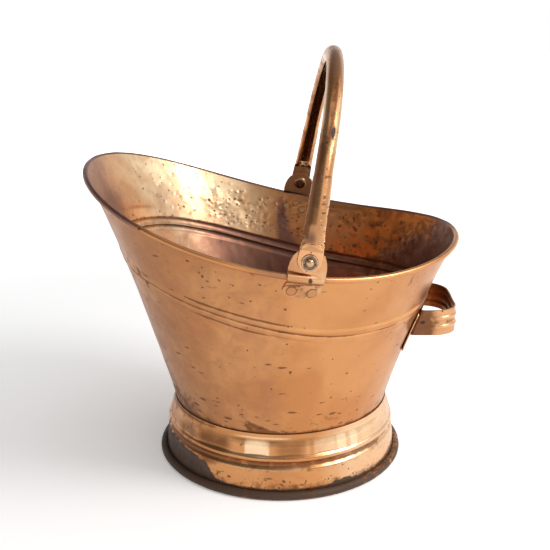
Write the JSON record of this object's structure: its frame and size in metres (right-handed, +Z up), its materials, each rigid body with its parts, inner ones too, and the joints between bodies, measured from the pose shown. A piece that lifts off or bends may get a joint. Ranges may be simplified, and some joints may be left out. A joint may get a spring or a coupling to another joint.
{
  "type": "coal scuttle",
  "caption": "Copper helmet coal scuttle: an open flared body with a pouring lip on a rolled foot, with a hinged bail across the mouth and a ribbed strap handle behind.",
  "frame": {"origin": "centre of the bounding box's bottom face, on the floor under the foot's rolled edge", "axes": "+Z up; +X to the back, where the strap handle is; -X to the pouring lip; +Y to the far side of the picture; the bail's pivots lie on a line along Y"},
  "size_m": [0.389, 0.359, 0.439],
  "materials": {
    "copper_body": "satin copper, worn, dented and tarnished brown in its grooves",
    "copper_foot": "satin copper with dents and dark brown patina at the edge",
    "copper_bail": "satin copper, pitted, with dark worn patches",
    "copper_fittings": "satin copper, dull reddish brown inside",
    "copper_rivets": "dull copper",
    "pivot_brass": "worn bright brass",
    "bottom_copper": "dark oxidised copper",
    "iron_wire": "dark iron wire",
    "solder": "dull grey solder"
  },
  "bodies": {
    "scuttle": {"body_shell": "copper_body", "rim_wire": "iron_wire", "bottom_plate": "bottom_copper", "bottom_solder": "solder", "foot_ring": "copper_foot", "foot_wire": "iron_wire", "near_ear": "copper_fittings", "far_ear": "copper_fittings", "near_front_ear_rivet": "copper_rivets", "near_rear_ear_rivet": "copper_rivets", "far_front_ear_rivet": "copper_rivets", "far_rear_ear_rivet": "copper_rivets", "near_pivot_rivet": "pivot_brass", "far_pivot_rivet": "pivot_brass", "near_washer": "pivot_brass", "far_washer": "pivot_brass", "strap_plate": "copper_fittings", "strap_handle": "copper_fittings", "strap_near_upper_rivet": "copper_rivets", "strap_near_lower_rivet": "copper_rivets", "strap_far_upper_rivet": "copper_rivets", "strap_far_lower_rivet": "copper_rivets"},
    "bail": {"bail": "copper_bail"}
  },
  "joints": [
    {"name": "bail_hinge", "type": "hinge", "parent": "scuttle", "child": "bail", "pos_m": [0.03193, 0, 0.26338], "axis": [0, 1, 0], "range_deg": [-92, 83]}
  ]
}
